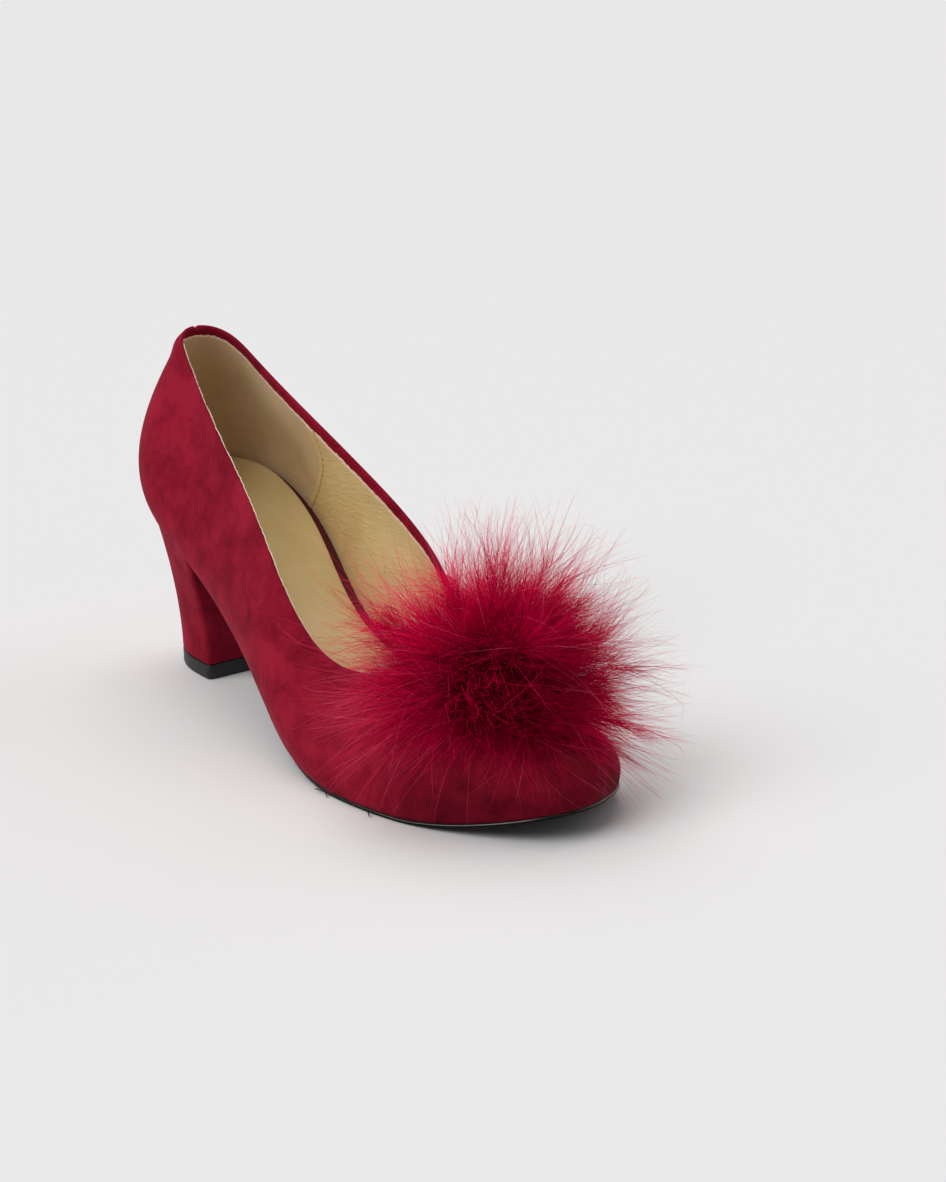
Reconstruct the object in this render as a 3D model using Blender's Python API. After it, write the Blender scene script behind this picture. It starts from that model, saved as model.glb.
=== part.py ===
"""A right pump with a suede upper, a block heel and a feather pompom.

Sizes are in millimetres until the meshes are made. X runs from the heel to
the toe, Y towards the inner side of the foot and Z up. The floor is z = 0.
"""
import math

import bmesh
import bpy
import numpy as np
from mathutils import Vector
from mathutils.bvhtree import BVHTree

# Driving sizes
LENGTH = 232.0        # heel seat to toe tip, along the sole's outline
BALL = 80.0           # width of the sole at the ball
SEAT = 57.5           # height of the upper's lower edge at the back of the heel
COLLAR_BACK = 12.0    # how far the collar leans in over the heel seat
THROAT = 163.0        # heel seat to the middle of the throat
SPLIT = 174.0         # where the throat's cross line meets the sole's edge
POLE = 213.0          # where the ridge of the vamp turns down over the toe
WALL = 2.0            # upper with its lining
SOLE = 2.7            # outsole thickness
TREAD_BACK = 155.0    # the forefoot's flat tread starts here
TREAD_FRONT = 186.0   # and ends here, where the toe spring begins
SPRING = 8.8          # lift of the sole at the toe tip
TOE_LEAN = 1.2        # the toe tip's lean to the inner side
BREAST = 42.0         # heel seat to the front of the heel
LIFT = 5.5            # height of the rubber top piece
SOCK = 1.0            # leather sock
GAP = 0.3             # space between touching pieces
POM_AT = (186.0, 0.5)  # middle of the pompom on the vamp
POM_CORE = 18.0       # radius of the pompom's dense core
POM_REACH = 54.0      # radius of its longest locks

REAR_COLUMNS = 30     # wall columns from the back seam to the throat
TOE_COLUMNS = 17      # wall columns from the throat to the toe tip
ROWS = 11             # wall rows from the sole to the upper edge


def table(names, *rows):
    """A table with one named column for each word and one row per section."""
    return dict(zip(names.split(), np.array(rows, float).T))


# The sole's plan: half widths as shares of half the ball width
OUTLINE = table(
    "along outer inner",
    (0.00, 0.000, 0.000),
    (0.06, 0.522, 0.540),
    (0.14, 0.632, 0.650),
    (0.25, 0.672, 0.612),
    (0.40, 0.790, 0.470),
    (0.52, 0.968, 0.645),
    (0.64, 1.060, 0.905),
    (0.74, 1.020, 0.945),
    (0.84, 0.860, 0.910),
    (0.92, 0.615, 0.770),
    (0.97, 0.395, 0.425),
    (1.00, 0.000, 0.000),
)

# The arch: height of the sole line between the tread and the heel seat
ARCH = table(
    "along rise",
    (0.00, 1.000),
    (0.13, 0.950),
    (0.26, 0.845),
    (0.39, 0.680),
    (0.52, 0.482),
    (0.65, 0.288),
    (0.78, 0.132),
    (0.90, 0.034),
    (1.00, 0.000),
)

# The topline from the collar to the throat: half widths, height and the
# wall's angle there, in degrees below the level
TOPLINE = table(
    "along outer inner height edge",
    (0.00, 0.0, 0.0, 123.3, 57.0),
    (0.04, 9.7, 10.8, 120.0, 60.0),
    (0.12, 13.7, 14.1, 112.7, 70.0),
    (0.30, 20.9, 18.3, 97.4, 80.0),
    (0.50, 27.0, 24.3, 79.6, 79.0),
    (0.70, 32.9, 29.8, 57.0, 70.0),
    (0.82, 31.3, 27.0, 41.8, 58.0),
    (0.90, 25.0, 21.5, 36.6, 44.0),
    (0.96, 16.5, 14.0, 37.4, 26.0),
    (1.00, 0.0, 0.0, 39.0, 0.0),
)

# The vamp's ridge from the throat to the toe
RIDGE = table(
    "at height",
    (163.0, 39.0),
    (175.0, 36.4),
    (188.0, 33.3),
    (201.0, 30.0),
    (213.0, 26.6),
)

# The wall's section: its angle at the sole on the outer and the inner side, in
# degrees above the level, and the share of its height that each end's curve takes
SECTION = table(
    "along outer inner low high",
    (0.00, 55.0, 55.0, 0.38, 0.38),
    (0.06, 59.0, 60.0, 0.37, 0.37),
    (0.14, 68.0, 68.0, 0.36, 0.36),
    (0.25, 71.0, 69.0, 0.34, 0.34),
    (0.40, 66.0, 66.0, 0.33, 0.33),
    (0.52, 68.0, 70.0, 0.32, 0.32),
    (0.64, 76.0, 76.0, 0.31, 0.33),
    (0.74, 80.0, 80.0, 0.31, 0.36),
    (0.84, 80.0, 80.0, 0.33, 0.38),
    (0.92, 79.0, 79.0, 0.37, 0.42),
    (1.00, 77.0, 77.0, 0.41, 0.46),
)

# Thickness of the insole with its cushion, and the bare rim around the sock
CUSHION = table(
    "along thick rim",
    (0.00, 12.6, 0.8),
    (0.12, 12.4, 0.9),
    (0.25, 10.8, 2.0),
    (0.42, 6.8, 3.4),
    (0.55, 4.6, 3.4),
    (0.68, 3.2, 3.0),
    (1.00, 2.8, 3.0),
)

# How far the outsole's edge stands out from the upper
SOLE_EDGE = table(
    "along out",
    (0.17, -1.6),
    (0.35, -2.4),
    (0.50, -1.4),
    (0.60, 0.0),
    (0.70, 0.5),
    (0.90, 0.5),
    (1.00, 0.2),
)

# The heel's foot in plan, from its back to its front corner
HEEL_FOOT = table(
    "at half",
    (8.0, 0.0),
    (9.4, 5.0),
    (13.0, 9.8),
    (19.0, 13.9),
    (28.0, 16.6),
    (41.7, 17.1),
)


def spline(xs, ys):
    """The natural cubic curve through the table's points."""
    n = len(xs)
    step = np.diff(xs)
    rise = np.diff(ys) / step
    matrix = np.eye(n)
    right = np.zeros(n)
    for i in range(1, n - 1):
        matrix[i, i - 1:i + 2] = (step[i - 1], 2 * (step[i - 1] + step[i]), step[i])
        right[i] = 6 * (rise[i] - rise[i - 1])
    bend = np.linalg.solve(matrix, right)

    def at(x):
        x = min(max(x, xs[0]), xs[-1])
        i = min(int(np.searchsorted(xs, x, "right")) - 1, n - 2)
        a, b = xs[i + 1] - x, x - xs[i]
        h = step[i]
        curve = (bend[i] * a ** 3 + bend[i + 1] * b ** 3) / (6 * h)
        line = (ys[i] / h - bend[i] * h / 6) * a + (ys[i + 1] / h - bend[i + 1] * h / 6) * b
        return float(curve + line)

    return at


def straight(xs, ys):
    """Straight runs between the table's points."""
    return lambda x: float(np.interp(x, xs, ys))


def turn(share):
    """The angle, as a share of half a turn, that gives round ends to a plan."""
    return np.arccos(1 - 2 * np.clip(share, 0, 1)) / math.pi


OUTLINE_SIDE = {
    -1: spline(turn(OUTLINE["along"]), OUTLINE["outer"]),
    1: spline(turn(OUTLINE["along"]), OUTLINE["inner"]),
}
TOPLINE_SIDE = {
    -1: spline(turn(TOPLINE["along"]), TOPLINE["outer"]),
    1: spline(turn(TOPLINE["along"]), TOPLINE["inner"]),
}
TOPLINE_HEIGHT = spline(TOPLINE["along"], TOPLINE["height"])
RIDGE_HEIGHT = spline(RIDGE["at"], RIDGE["height"])
ARCH_RISE = spline(ARCH["along"], ARCH["rise"])
FOOT_ANGLE = {
    -1: spline(SECTION["along"], SECTION["outer"]),
    1: spline(SECTION["along"], SECTION["inner"]),
}
EDGE_ANGLE = spline(turn(TOPLINE["along"]), TOPLINE["edge"])
LOW_SHARE = spline(SECTION["along"], SECTION["low"])
HIGH_SHARE = spline(SECTION["along"], SECTION["high"])
CUSHION_THICK = spline(CUSHION["along"], CUSHION["thick"])
CUSHION_RIM = straight(CUSHION["along"], CUSHION["rim"])
EDGE_OUT = spline(SOLE_EDGE["along"], SOLE_EDGE["out"])
HEEL_HALF = spline(np.sqrt(HEEL_FOOT["at"] - 8.0), HEEL_FOOT["half"])


RIDGE_SLOPE = RIDGE_HEIGHT(THROAT + 1.0) - RIDGE_HEIGHT(THROAT)


def floor_line(x):
    """Height of the upper's lower edge over the floor, x from the heel seat."""
    ground = SOLE + GAP
    if x < TREAD_BACK:
        return ground + (SEAT - ground) * max(ARCH_RISE(x / TREAD_BACK), 0.0)
    if x > TREAD_FRONT:
        return ground + SPRING * ((x - TREAD_FRONT) / (LENGTH - TREAD_FRONT)) ** 1.6
    return ground


def outline(side, x, inset=0.0):
    """A point of the sole's outline, and its outward direction in plan."""
    share = float(turn(x / LENGTH))

    def point(t):
        t = min(max(t, 0.0), 1.0)
        px = LENGTH * (1 - math.cos(math.pi * t)) / 2
        py = side * OUTLINE_SIDE[side](t) * BALL / 2 + TOE_LEAN * t ** 6
        return np.array((px, py))

    a, b = point(share - 0.004), point(share + 0.004)
    along = b - a
    out = np.array((along[1], -along[0])) * (1 if side < 0 else -1)
    if share < 0.004:
        out = np.array((-1.0, 0.0))
    if share > 0.996:
        out = np.array((1.0, 0.0))
    out = out / np.linalg.norm(out)
    return point(share) - inset * out, out


def columns():
    """Each wall column's foot on the outline and its head on the topline or ridge."""
    rows = []
    for i in range(REAR_COLUMNS + 1):
        q = (1 - math.cos(math.pi * i / REAR_COLUMNS)) / 2
        rows.append((SPLIT * q, "topline", i / REAR_COLUMNS))
    for i in range(1, TOE_COLUMNS + 1):
        q = (1 - math.cos(math.pi * i / TOE_COLUMNS)) / 2
        rows.append((SPLIT + (LENGTH - SPLIT) * q, "ridge", q))
    return rows


def head(side, kind, q):
    """The upper end of a wall column."""
    if kind == "topline":
        share = (1 - math.cos(math.pi * q)) / 2
        x = COLLAR_BACK + (THROAT - COLLAR_BACK) * share
        place = np.array((x, side * TOPLINE_SIDE[side](q), TOPLINE_HEIGHT(share)))
        return place, RIDGE_SLOPE * max(q - 0.7, 0.0) / 0.3
    x = THROAT + (POLE - THROAT) * q
    slope = (RIDGE_HEIGHT(x + 0.5) - RIDGE_HEIGHT(x - 0.5)) / 1.0
    return np.array((x, TOE_LEAN * (x / LENGTH) ** 6 * q, RIDGE_HEIGHT(x))), slope


def wall_column(side, x, kind, q, inset):
    """One column of the wall, from the sole to its upper edge, set in by inset."""
    foot, out = outline(side, x, inset)
    foot = np.array((foot[0], foot[1], floor_line(x)))
    top, slope = head(side, kind, q)
    along = x / LENGTH
    lean = math.radians(FOOT_ANGLE[side](along))
    fall = math.radians(EDGE_ANGLE(q)) if kind == "topline" else 0.0
    flat = np.array((out[0], out[1], 0.0))
    up = np.array((0.0, 0.0, 1.0))
    down = math.cos(fall) * (flat + up * slope * out[0]) - math.sin(fall) * up
    skin = math.sin(fall) * flat + math.cos(fall) * up
    top = top - inset * skin
    chord = np.linalg.norm(top - foot)
    low = foot + LOW_SHARE(along) * chord * (math.cos(lean) * flat + math.sin(lean) * up)
    high = top + HIGH_SHARE(along) * chord * down
    t = np.linspace(0.0, 1.0, ROWS + 1)[:, None]
    return ((1 - t) ** 3 * foot + 3 * (1 - t) ** 2 * t * low
            + 3 * (1 - t) * t ** 2 * high + t ** 3 * top)


def add_object(name, points, faces, material, smooth=40.0):
    """One closed body from points in millimetres and faces."""
    mesh = bpy.data.meshes.new(name)
    mesh.from_pydata([Vector(p) * 0.001 for p in points], [], faces)
    work = bmesh.new()
    work.from_mesh(mesh)
    bmesh.ops.remove_doubles(work, verts=work.verts, dist=0.000002)
    bmesh.ops.dissolve_degenerate(work, edges=work.edges, dist=0.000001)
    bmesh.ops.recalc_face_normals(work, faces=work.faces)
    bmesh.ops.triangulate(work, faces=work.faces, quad_method="SHORT_EDGE")
    work.to_mesh(mesh)
    work.free()
    mesh.shade_smooth()
    mesh.set_sharp_from_angle(angle=math.radians(smooth))
    mesh.materials.append(material)
    item = bpy.data.objects.new(name, mesh)
    bpy.context.scene.collection.objects.link(item)
    return item


def add_material(name, colour, roughness, metallic=0.0):
    """A plain surface with the piece's own colour."""
    material = bpy.data.materials.new(name)
    material.use_nodes = True
    shader = material.node_tree.nodes["Principled BSDF"]
    shader.inputs["Base Color"].default_value = (*colour, 1.0)
    shader.inputs["Roughness"].default_value = roughness
    shader.inputs["Metallic"].default_value = metallic
    return material


def strip_loft(rings):
    """Faces for a stack of rings, with both ends closed by cross strips.

    Each ring runs up one side and back down the other, so point k of one side
    faces point count - 1 - k of the other.
    """
    count = len(rings[0])
    points = [p for ring in rings for p in ring]
    faces = []
    for r in range(len(rings) - 1):
        for k in range(count):
            n = (k + 1) % count
            a, b = r * count, (r + 1) * count
            faces.append((a + k, a + n, b + n, b + k))
    for r in (0, len(rings) - 1):
        base = r * count
        for k in range(count // 2 - 1):
            faces.append((base + k, base + k + 1, base + count - 2 - k, base + count - 1 - k))
    return points, faces


def make_upper(material):
    """The hollow wall: outer skin, lining side, topline and lower edge."""
    points = []
    faces = []
    plan = columns()
    for side in (-1, 1):
        grids = []
        for inset in (0.0, WALL):
            grid = []
            for x, kind, q in plan:
                column = wall_column(side, x, kind, q, inset)
                grid.append(list(range(len(points), len(points) + len(column))))
                points.extend(column)
            grids.append(grid)
        skin, lining = grids
        for c in range(len(plan) - 1):
            for r in range(ROWS):
                for grid in grids:
                    faces.append((grid[c][r], grid[c + 1][r], grid[c + 1][r + 1], grid[c][r + 1]))
            faces.append((skin[c][0], skin[c + 1][0], lining[c + 1][0], lining[c][0]))
            if plan[c + 1][1] == "topline":
                faces.append((skin[c][-1], skin[c + 1][-1], lining[c + 1][-1], lining[c][-1]))
    return add_object("upper", points, faces, material)


def side_stations(start, end, count):
    """Places along the shoe, closer together towards a round end."""
    if start <= 0.0 and end >= LENGTH:
        return [LENGTH * (1 - math.cos(math.pi * i / count)) / 2 for i in range(count + 1)]
    if start <= 0.0:
        return [end * (1 - math.cos(math.pi / 2 * i / count)) for i in range(count + 1)]
    return [start + (end - start) * math.sin(math.pi / 2 * i / count) for i in range(count + 1)]


def sole_ring(stations, inset, lift):
    """A closed ring on the sole's plan, lifted from its floor line."""
    ring = []
    for x in stations:
        place, _ = outline(-1, x, inset(x))
        ring.append((place[0], place[1], floor_line(x) + lift))
    for x in reversed(stations):
        place, _ = outline(1, x, inset(x))
        ring.append((place[0], place[1], floor_line(x) + lift))
    return ring


def make_outsole(material):
    """The thin sole with a rounded edge, from the heel breast to the toe."""
    stations = side_stations(BREAST + 1.6, LENGTH, 40)
    edge = lambda x: -EDGE_OUT(x / LENGTH)
    rings = [
        sole_ring(stations, lambda x: edge(x) + 0.9, -GAP - SOLE),
        sole_ring(stations, lambda x: edge(x) + 0.1, -GAP - SOLE * 0.62),
        sole_ring(stations, edge, -GAP - SOLE * 0.3),
        sole_ring(stations, lambda x: edge(x) + 0.3, -GAP),
    ]
    return add_object("outsole", *strip_loft(rings), material)


def make_heel(material):
    """The covered block: a D in plan that tapers to the top piece."""
    count = 18
    wide = side_stations(0.0, BREAST, count)
    narrow = [8.0 + (41.7 - 8.0) * (1 - math.cos(math.pi / 2 * i / count)) for i in range(count + 1)]
    rings = []
    for level in range(8):
        v = level / 7
        swell = v ** 1.2
        ring = []
        for side, order in ((-1, range(count + 1)), (1, range(count, -1, -1))):
            for k in order:
                foot = np.array((narrow[k], side * HEEL_HALF(math.sqrt(narrow[k] - 8.0))))
                seat, _ = outline(side, wide[k], 0.5)
                place = foot + (seat - foot) * swell
                roof = floor_line(wide[k]) - GAP
                base = LIFT + GAP
                ring.append((place[0], place[1], base + (roof - base) * v))
        rings.append(ring)
    return add_object("heel", *strip_loft(rings), material, 50.0)


def make_lift(material):
    """The rubber top piece, a little narrower at the floor."""
    count = 18
    stations = [8.0 + (41.7 - 8.0) * (1 - math.cos(math.pi / 2 * i / count)) for i in range(count + 1)]
    rings = []
    for height, scale in ((0.0, 0.97), (0.6, 0.995), (LIFT - 0.5, 1.0), (LIFT, 0.985)):
        ring = []
        for side, order in ((-1, range(count + 1)), (1, range(count, -1, -1))):
            for k in order:
                x = 26.0 + (stations[k] - 26.0) * scale
                ring.append((x, side * HEEL_HALF(math.sqrt(stations[k] - 8.0)) * scale, height))
        rings.append(ring)
    return add_object("top_lift", *strip_loft(rings), material)


def inner_ring(share, inset):
    """A ring inside the wall, at a share of the insole's thickness."""
    sides = {}
    for side in (-1, 1):
        run = []
        for x, kind, q in columns():
            column = wall_column(side, x, kind, q, inset)
            rise = CUSHION_THICK(x / LENGTH) * share
            heights = column[:, 2] - column[0, 2]
            run.append([float(np.interp(rise, heights, column[:, k])) for k in range(3)])
        sides[side] = run
    return sides[-1] + sides[1][::-1]


def make_insole(material):
    """The insole: its sides follow the wall and its top is level across."""
    rings = [inner_ring(share, WALL + GAP + 0.1) for share in (0.0, 0.3, 0.6, 0.92)]
    rings.append(inner_ring(1.0, WALL + 0.9))
    return add_object("insole", *strip_loft(rings), material), rings[-1]


def make_sock(material, below):
    """The sock, a thin sheet on the insole with a bare rim around it."""
    half = len(below) // 2
    plan = [np.array(p) for p in below]
    edge = []
    for k, p in enumerate(plan):
        before, after = plan[max(k - 1, 0)], plan[min(k + 1, len(plan) - 1)]
        if k in (half - 1, half):
            before, after = plan[half - 2], plan[half + 1]
        if k in (0, len(plan) - 1):
            before, after = plan[-2], plan[1]
        along = (after - before)[:2]
        inward = np.array((-along[1], along[0])) / np.linalg.norm(along)
        rim = CUSHION_RIM(p[0] / LENGTH)
        edge.append((p[0] + inward[0] * rim, p[1] + inward[1] * rim, p[2] + GAP))
    raised = [(x, y, z + SOCK) for x, y, z in edge]
    return add_object("sock", *strip_loft([edge, raised]), material)


def ground_of_pompom(x, y):
    """A smooth bed over the vamp that the pompom's locks follow."""
    if x < THROAT:
        ridge = RIDGE_HEIGHT(THROAT) - 0.20 * (x - THROAT)
    else:
        ridge = RIDGE_HEIGHT(min(x, POLE)) - 0.28 * max(x - POLE, 0.0)
    return ridge - 0.0085 * y * y


def make_pompom(material, upper):
    """A feather dome: a core with one tapering lock on each of its facets."""
    seeded = np.random.default_rng(11)
    core = bmesh.new()
    bmesh.ops.create_icosphere(core, subdivisions=3, radius=1.0)
    base = [np.array(v.co) for v in core.verts]
    facets = [tuple(v.index for v in f.verts) for f in core.faces]
    core.free()

    def dome(p):
        return np.array((p[0], p[1], max(p[2], 0.0) + 0.02 * p[2]))

    points = [dome(p) * POM_CORE for p in base]
    faces = []
    for facet in facets:
        middle = sum(base[k] for k in facet) / 3
        middle = middle / np.linalg.norm(middle)
        if middle[2] < 0.10:
            faces.append(facet)
            continue
        reach = POM_REACH * (0.80 + 0.20 * seeded.random())
        reach = reach * (1.0 - 0.10 * middle[2])
        ring = list(facet)
        for share, width in ((0.0, 0.80), (0.42, 0.62), (0.78, 0.40)):
            radius = POM_CORE + (reach - POM_CORE) * share
            new = []
            for k in facet:
                spot = middle + (base[k] - middle) * width
                new.append(len(points))
                points.append(dome(spot / np.linalg.norm(spot)) * radius)
            for j in range(3):
                n = (j + 1) % 3
                faces.append((ring[j], ring[n], new[n], new[j]))
            ring = new
        tip = len(points)
        points.append(dome(middle) * reach)
        for j in range(3):
            faces.append((ring[j], ring[(j + 1) % 3], tip))

    # The dome leans forward a little and swirls, then sits on the vamp's bed
    placed = []
    for p in points:
        radius = math.hypot(p[0], p[1])
        swirl = 0.0035 * radius
        x = p[0] * math.cos(swirl) - p[1] * math.sin(swirl) + 0.08 * p[2]
        y = p[0] * math.sin(swirl) + p[1] * math.cos(swirl)
        droop = 0.0010 * radius * radius
        x, y = x + POM_AT[0], y + POM_AT[1]
        placed.append([x, y, ground_of_pompom(x, y) + p[2] * 1.02 - droop])

    # Lower it until it rests a gap above the vamp
    tree = BVHTree.FromPolygons(
        [v.co * 1000 for v in upper.data.vertices],
        [tuple(f.vertices) for f in upper.data.polygons],
    )
    room = []
    for x, y, z in placed:
        hit = tree.ray_cast(Vector((x, y, 300.0)), Vector((0, 0, -1)))[0]
        if hit is not None:
            room.append(z - hit.z)
    drop = min(room) - GAP
    placed = [(x, y, z - drop) for x, y, z in placed]
    return add_object("pompom", placed, faces, material, 60.0)


def main():
    for item in list(bpy.data.objects):
        bpy.data.objects.remove(item)

    suede = add_material("upper_suede", (0.27, 0.018, 0.045), 0.92)
    cover = add_material("heel_suede", (0.25, 0.016, 0.042), 0.92)
    black = add_material("outsole_black", (0.012, 0.012, 0.013), 0.42)
    rubber = add_material("lift_rubber", (0.015, 0.015, 0.016), 0.55)
    wine = add_material("insole_wine", (0.085, 0.010, 0.016), 0.70)
    beige = add_material("sock_leather", (0.52, 0.40, 0.24), 0.50)
    down = add_material("pompom_feather", (0.42, 0.004, 0.035), 0.75)

    upper = make_upper(suede)
    insole, bed = make_insole(wine)
    made = [
        upper,
        make_outsole(black),
        make_heel(cover),
        make_lift(rubber),
        insole,
        make_sock(beige, bed),
        make_pompom(down, upper),
    ]

    # Stand the shoe with the middle of its box over the origin
    low = np.min([np.array(v.co) for item in made for v in item.data.vertices], axis=0)
    high = np.max([np.array(v.co) for item in made for v in item.data.vertices], axis=0)
    shoe = bpy.data.objects.new("pump_shoe", None)
    bpy.context.scene.collection.objects.link(shoe)
    shoe.location = (-(low[0] + high[0]) / 2, -(low[1] + high[1]) / 2, -low[2])
    for item in made:
        item.parent = shoe
    bpy.context.view_layer.update()
    print("placed at", [round(v * 1000, 3) for v in shoe.location])
    for item in made:
        print(item.name, len(item.data.polygons), "triangles")


main()
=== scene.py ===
# %% [markdown]
# A suede pump with a feather pompom, one cell at a time.
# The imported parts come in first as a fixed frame: they say where each piece of
# the shoe is. Every cell after that dresses one of them: suede, lining, sock,
# heel, sole and feathers. Sizes are in millimetres on the shoe itself, with X
# from the heel to the toe, Y towards the inner side of the foot and Z up.

# %% Load the frame
from math import cos, pi, radians, sin, sqrt

import bmesh
import bpy
import numpy as np
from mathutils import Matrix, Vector


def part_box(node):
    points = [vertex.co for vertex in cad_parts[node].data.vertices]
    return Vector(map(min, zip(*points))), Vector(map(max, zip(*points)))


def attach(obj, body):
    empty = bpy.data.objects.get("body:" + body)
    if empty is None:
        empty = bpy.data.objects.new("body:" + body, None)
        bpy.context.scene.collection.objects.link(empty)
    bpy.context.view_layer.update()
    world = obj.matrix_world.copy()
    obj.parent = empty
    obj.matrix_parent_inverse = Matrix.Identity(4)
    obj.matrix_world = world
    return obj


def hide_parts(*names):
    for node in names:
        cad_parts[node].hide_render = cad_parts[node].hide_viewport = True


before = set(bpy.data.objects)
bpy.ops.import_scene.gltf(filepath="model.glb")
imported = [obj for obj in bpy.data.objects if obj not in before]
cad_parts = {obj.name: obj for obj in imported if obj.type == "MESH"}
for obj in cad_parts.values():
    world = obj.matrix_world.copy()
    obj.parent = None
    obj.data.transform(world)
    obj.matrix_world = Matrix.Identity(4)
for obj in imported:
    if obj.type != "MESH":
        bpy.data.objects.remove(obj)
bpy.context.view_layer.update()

lift_low, lift_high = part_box("top_lift")
LIFT_FRONT = 41.7  # the top piece's front edge, from the back of the heel seat
SHIFT = np.array((lift_high.x * 1000 - LIFT_FRONT, (lift_low.y + lift_high.y) * 500, 0.0))
print("nodes:", sorted(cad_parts), "shift in mm:", SHIFT.round(2))

# %% [markdown]
# The camera stands in front of the toe, a little to the outer side and above.
# Its place came from fitting the shoe's own sizes to the outline in the
# photograph, so the heel, the topline and the toe all land where they should.

# %% Camera
PHOTO_TALL, FOCAL = 1182.0, 2599.9  # in pixels of the photograph
SENSOR = 36.0  # the long side of the film, in millimetres
AZIMUTH, ELEVATION, DISTANCE = radians(52.894), radians(18.401), 901.5
AIM = np.array((118.743, 44.006, 42.305))
UP, AHEAD = np.array((0.0, 0.0, 1.0)), np.array((1.0, 0.0, 0.0))


def to_world(points):
    """Shoe millimetres to metres in the shared frame."""
    return (np.asarray(points, float) + SHIFT) * 0.001


def add_object(name, data, place=(0, 0, 0), looking=None):
    """An object in the scene, turned to look along a direction."""
    item = bpy.data.objects.new(name, data)
    item.location = place
    if looking is not None:
        item.rotation_mode = "QUATERNION"
        item.rotation_quaternion = Vector(looking).to_track_quat("-Z", "Y")
    bpy.context.scene.collection.objects.link(item)
    return item


left = np.array((-cos(AZIMUTH), -sin(AZIMUTH), 0.0))
level_toward = np.array((sin(AZIMUTH), -cos(AZIMUTH), 0.0))
toward = cos(ELEVATION) * level_toward + sin(ELEVATION) * UP
lens = bpy.data.cameras.new("camera")
lens.sensor_width, lens.lens = SENSOR, SENSOR * FOCAL / PHOTO_TALL
lens.clip_start, lens.clip_end = 0.05, 60.0
bpy.context.scene.camera = add_object("camera", lens, to_world(AIM + DISTANCE * toward), -toward)
print("lens", round(lens.lens, 2), "mm")

# %% [markdown]
# The set is a pale floor that runs on behind the shoe until it is the
# background too. Three wide, soft lamps light it: the key up on the left gives the
# suede its lit side, the top one stands behind and draws the shadow to the front,
# and a weak fill comes from the right. An even, dim world lifts the last shade.
# The plain colour view keeps deep reds deep, where a film-like view would wash
# them out.

# %% Floor and light
def add_node(shader, kind, inputs=None, **settings):
    """One more node beside a shader; an input is a value or another node's output."""
    made = shader.id_data.nodes.new("ShaderNode" + kind)
    for key, value in settings.items():
        setattr(made, key, value)
    for key, value in (inputs or {}).items():
        if isinstance(value, bpy.types.NodeSocket):
            shader.id_data.links.new(value, made.inputs[key])
        else:
            made.inputs[key].default_value = value
    return made


def new_finish(name, **values):
    """A material and its shader, with the values that are even all over."""
    material = bpy.data.materials.new(name)
    material.use_nodes = True
    shader = material.node_tree.nodes["Principled BSDF"]
    for key, value in values.items():
        shader.inputs[key.replace("_", " ")].default_value = value
    return material, shader


FLOOR = 9.0  # half the floor's width, in metres
floor_mesh = bpy.data.meshes.new("floor")
floor_mesh.from_pydata([(x * FLOOR, y * FLOOR, 0) for x, y in ((-1, -1), (1, -1), (1, 1), (-1, 1))],
                       [], [(0, 1, 2, 3)])
floor = add_object("floor", floor_mesh)
floor_finish, _ = new_finish("floor_paper", Base_Color=(0.84, 0.832, 0.830, 1), Roughness=0.95)
floor_mesh.materials.append(floor_finish)


def add_lamp(name, coming_from, softness, strength):
    """A far lamp as wide as the softness angle, so that the floor is lit evenly."""
    lamp = bpy.data.lights.new(name, "SUN")
    lamp.angle, lamp.energy = radians(softness), strength
    add_object(name, lamp, coming_from, -coming_from)


add_lamp("key_lamp", 0.75 * left + 0.50 * level_toward + 0.95 * UP, 45.0, 1.66)
add_lamp("top_lamp", 0.12 * left - 0.45 * level_toward + UP, 50.0, 1.38)
add_lamp("fill_lamp", -0.85 * left - 0.35 * level_toward + 0.40 * UP, 60.0, 0.42)
WORLD_LIGHT = 0.15
world = bpy.data.worlds.new("even_light")
world.use_nodes = True
background = world.node_tree.nodes["Background"]
background.inputs["Color"].default_value = (0.98, 0.99, 1.0, 1)
background.inputs["Strength"].default_value = WORLD_LIGHT
bpy.context.scene.world = world
bpy.context.scene.view_settings.view_transform = "Standard"
print("lamps: key, top and fill; world", WORLD_LIGHT)

# %% [markdown]
# Suede is short fibre brushed in soft patches. Colour follows four sizes of
# noise: wide clouds, patches a thumb wide, brush strokes, and the nap itself. Low
# on the toe a painted shade darkens it, standing in for the shade that falls
# there. Sheen gives the pale velvet edge where the surface turns away, and a fine
# bump stops it from looking like paint.

# %% Suede finish
def noise(shader, scale, detail=2.0, stretch=None, distortion=0.0, rough=0.5):
    """Noise in the shoe's own space; scale is in features for each metre."""
    place = add_node(shader, "TexCoord").outputs["Object"]
    if stretch:
        place = add_node(shader, "Mapping", {"Vector": place, "Scale": stretch}).outputs["Vector"]
    return add_node(shader, "TexNoise", {
        "Vector": place, "Scale": scale, "Detail": detail, "Roughness": rough,
        "Distortion": distortion}).outputs["Fac"]


def blend_of(shader, parts):
    """A weighted sum of noises."""
    total = 0.0
    for weight, part in parts:
        total = add_node(shader, "Math", {0: part, 1: weight, 2: total},
                         operation="MULTIPLY_ADD").outputs[0]
    return total


def ramp(shader, factor, *stops):
    """Colours along a factor: each stop is a place and a colour."""
    made = add_node(shader, "ValToRGB", {"Fac": factor})
    elements = made.color_ramp.elements
    while len(elements) < len(stops):
        elements.new(0.5)
    for element, (place, colour) in zip(elements, stops):
        element.position, element.color = place, (*colour, 1.0)
    return made.outputs["Color"]


def paint(shader, factor, *stops):
    """Gives a finish its colours along a factor."""
    shader.id_data.links.new(ramp(shader, factor, *stops), shader.inputs["Base Color"])


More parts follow.
